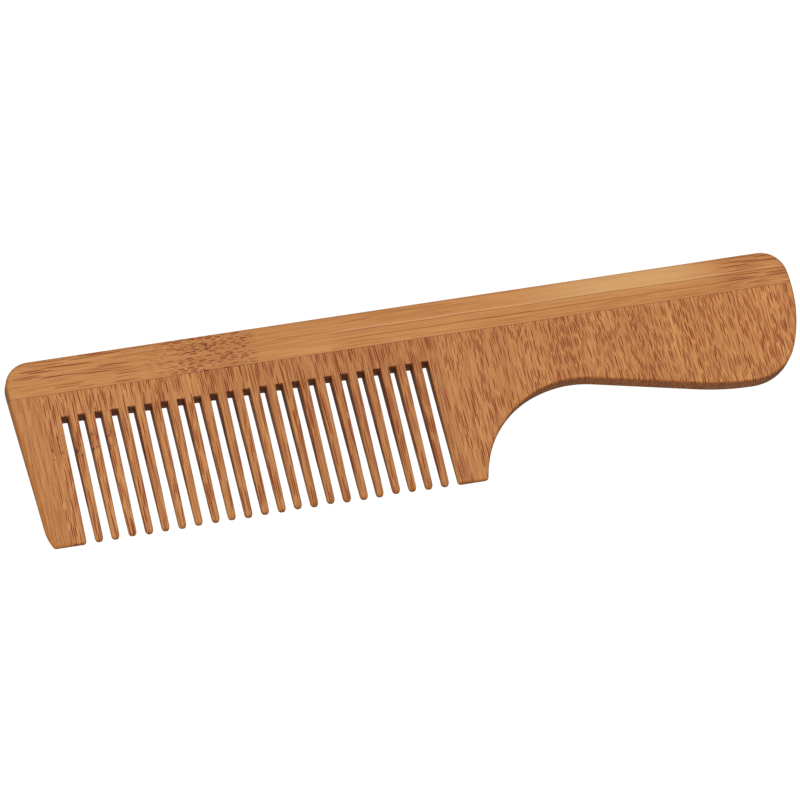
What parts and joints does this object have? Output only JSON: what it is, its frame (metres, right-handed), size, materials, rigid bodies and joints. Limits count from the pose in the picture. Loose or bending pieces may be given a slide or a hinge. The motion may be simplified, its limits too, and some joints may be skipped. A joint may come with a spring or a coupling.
{
  "type": "wide tooth comb",
  "caption": "Flat bamboo comb with one row of wide teeth between two guards and a rounded grip handle, laminated from a lath along the back and cross-grain staves.",
  "frame": {"origin": "centre of the comb's bounding box, on its rear face", "axes": "+X along the back to the handle end, +Y from the tooth tips to the back, +Z out of the front face"},
  "size_m": [0.19, 0.046, 0.0045],
  "materials": {
    "bamboo_lath": "sanded, thin oiled",
    "bamboo_stave": "sanded, thin oiled"
  },
  "bodies": {
    "root": {"spine": "bamboo_lath", "stave_01": "bamboo_stave", "stave_02": "bamboo_stave", "stave_03": "bamboo_stave", "stave_04": "bamboo_stave", "stave_05": "bamboo_stave", "stave_06": "bamboo_stave", "stave_07": "bamboo_stave", "stave_08": "bamboo_stave", "stave_09": "bamboo_stave", "stave_10": "bamboo_stave", "stave_11": "bamboo_stave"}
  },
  "joints": []
}
